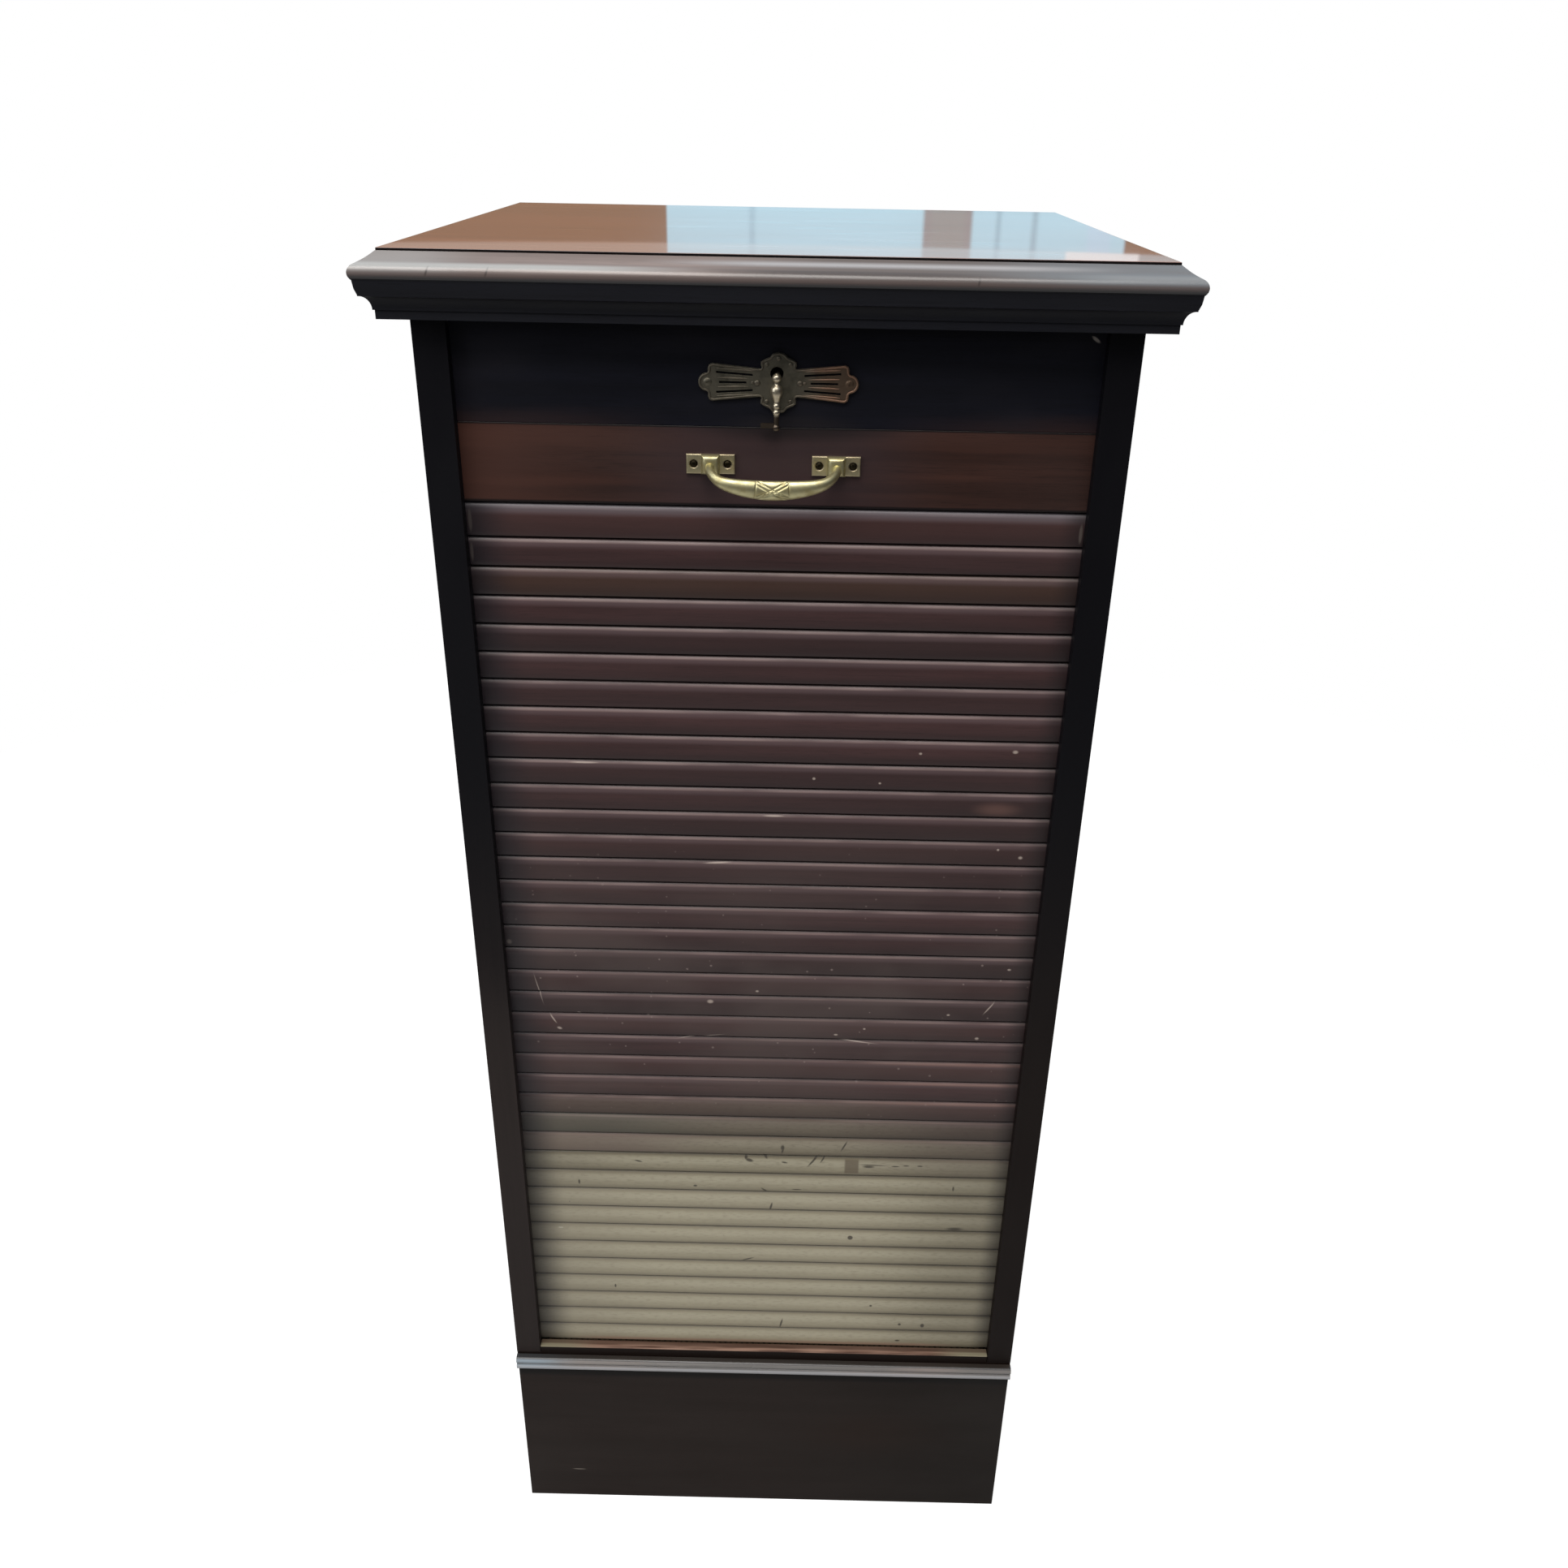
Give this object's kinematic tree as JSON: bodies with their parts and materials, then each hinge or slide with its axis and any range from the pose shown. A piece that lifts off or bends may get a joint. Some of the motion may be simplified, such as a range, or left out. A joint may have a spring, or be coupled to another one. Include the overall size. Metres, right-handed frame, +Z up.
{
  "type": "tambour door cabinet",
  "caption": "Tall narrow mahogany cabinet with a slatted tambour that slides down in side tracks, a moulded cornice, a plinth, a lock with folding key and a brass pull.",
  "frame": {"origin": "on the floor, at the centre of the overall box's footprint", "axes": "+X to the right as seen from the front, +Y to the back, +Z up"},
  "size_m": [0.56, 0.512, 1.2637],
  "materials": {
    "carcass_mahogany": "dark aged mahogany, semi-gloss",
    "polished_mahogany": "reddish mahogany under a mirror-gloss polish",
    "leading_rail_mahogany": "dark brown mahogany, semi-gloss",
    "slat_brown": "aged brown mahogany slats, satin",
    "slat_grey": "partly faded slat, matt",
    "slat_faded": "faded olive-beige slats, matt",
    "canvas": "glued linen canvas",
    "cast_brass": "worn cast brass",
    "antique_brass": "dark tarnished brass",
    "lock_steel": "plain steel lock case"
  },
  "bodies": {
    "cabinet": {"left_side": "carcass_mahogany", "right_side": "carcass_mahogany", "back_panel": "carcass_mahogany", "false_back": "carcass_mahogany", "bottom_board": "carcass_mahogany", "lower_shelf": "carcass_mahogany", "middle_shelf": "carcass_mahogany", "upper_shelf": "carcass_mahogany", "plinth_board": "carcass_mahogany", "plinth_moulding": "carcass_mahogany", "cornice": "carcass_mahogany", "top_board": "carcass_mahogany", "top_panel": "polished_mahogany", "slat_01": "slat_brown", "slat_02": "slat_brown", "slat_03": "slat_brown", "slat_04": "slat_brown", "slat_05": "slat_brown", "slat_06": "slat_brown", "slat_07": "slat_brown", "slat_08": "slat_brown", "slat_09": "slat_brown", "slat_10": "slat_brown", "slat_11": "slat_brown", "slat_12": "slat_brown", "slat_13": "slat_brown", "slat_14": "slat_brown", "slat_15": "slat_brown", "slat_16": "slat_brown", "slat_17": "slat_brown", "slat_18": "slat_brown", "slat_19": "slat_brown", "slat_20": "slat_brown", "slat_21": "slat_brown", "slat_22": "slat_brown", "slat_23": "slat_brown", "slat_24": "slat_brown", "slat_25": "slat_brown", "slat_26": "slat_grey", "slat_27": "slat_faded", "slat_28": "slat_faded", "slat_29": "slat_faded", "slat_30": "slat_faded", "slat_31": "slat_faded", "slat_32": "slat_faded", "slat_33": "slat_faded", "slat_34": "slat_faded", "slat_35": "slat_faded", "slat_36": "slat_faded", "slat_37": "slat_faded", "slat_38": "slat_faded", "canvas_backing": "canvas", "lock_rail": "carcass_mahogany", "escutcheon": "antique_brass", "lock_case": "lock_steel"},
    "shutter": {"leading_rail": "leading_rail_mahogany", "brass_pull": "cast_brass"},
    "hook": {"lock_hook": "lock_steel"},
    "key": {"key_barrel": "cast_brass"},
    "stem": {"key_stem": "cast_brass"}
  },
  "joints": [
    {"name": "shutter_slide", "type": "slide", "parent": "cabinet", "child": "shutter", "axis": [0, 0, -1], "range_m": [0, 0.862], "deforming": ["slat_01", "slat_02", "slat_03", "slat_04", "slat_05", "slat_06", "slat_07", "slat_08", "slat_09", "slat_10", "slat_11", "slat_12", "slat_13", "slat_14", "slat_15", "slat_16", "slat_17", "slat_18", "slat_19", "slat_20", "slat_21", "slat_22", "slat_23", "slat_24", "slat_25", "slat_26", "slat_27", "slat_28", "slat_29", "slat_30", "slat_31", "slat_32", "slat_33", "slat_34", "slat_35", "slat_36", "slat_37", "slat_38", "canvas_backing"]},
    {"name": "key_turn", "type": "hinge", "parent": "cabinet", "child": "key", "pos_m": [0, -0.211, 1.1824], "axis": [0, 1, 0], "range_deg": [0, 180]},
    {"name": "key_fold", "type": "hinge", "parent": "key", "child": "stem", "pos_m": [0, -0.2231, 1.1824], "axis": [-1, 0, 0], "range_deg": [0, 90]},
    {"name": "hook_swing", "type": "hinge", "parent": "cabinet", "child": "hook", "pos_m": [0.0085, -0.2041, 1.172], "axis": [0, -1, 0], "range_deg": [0, 60]}
  ],
  "couplings": [
    {"joint": "hook_swing", "follows": "key_turn", "ratio": 0.33333}
  ]
}
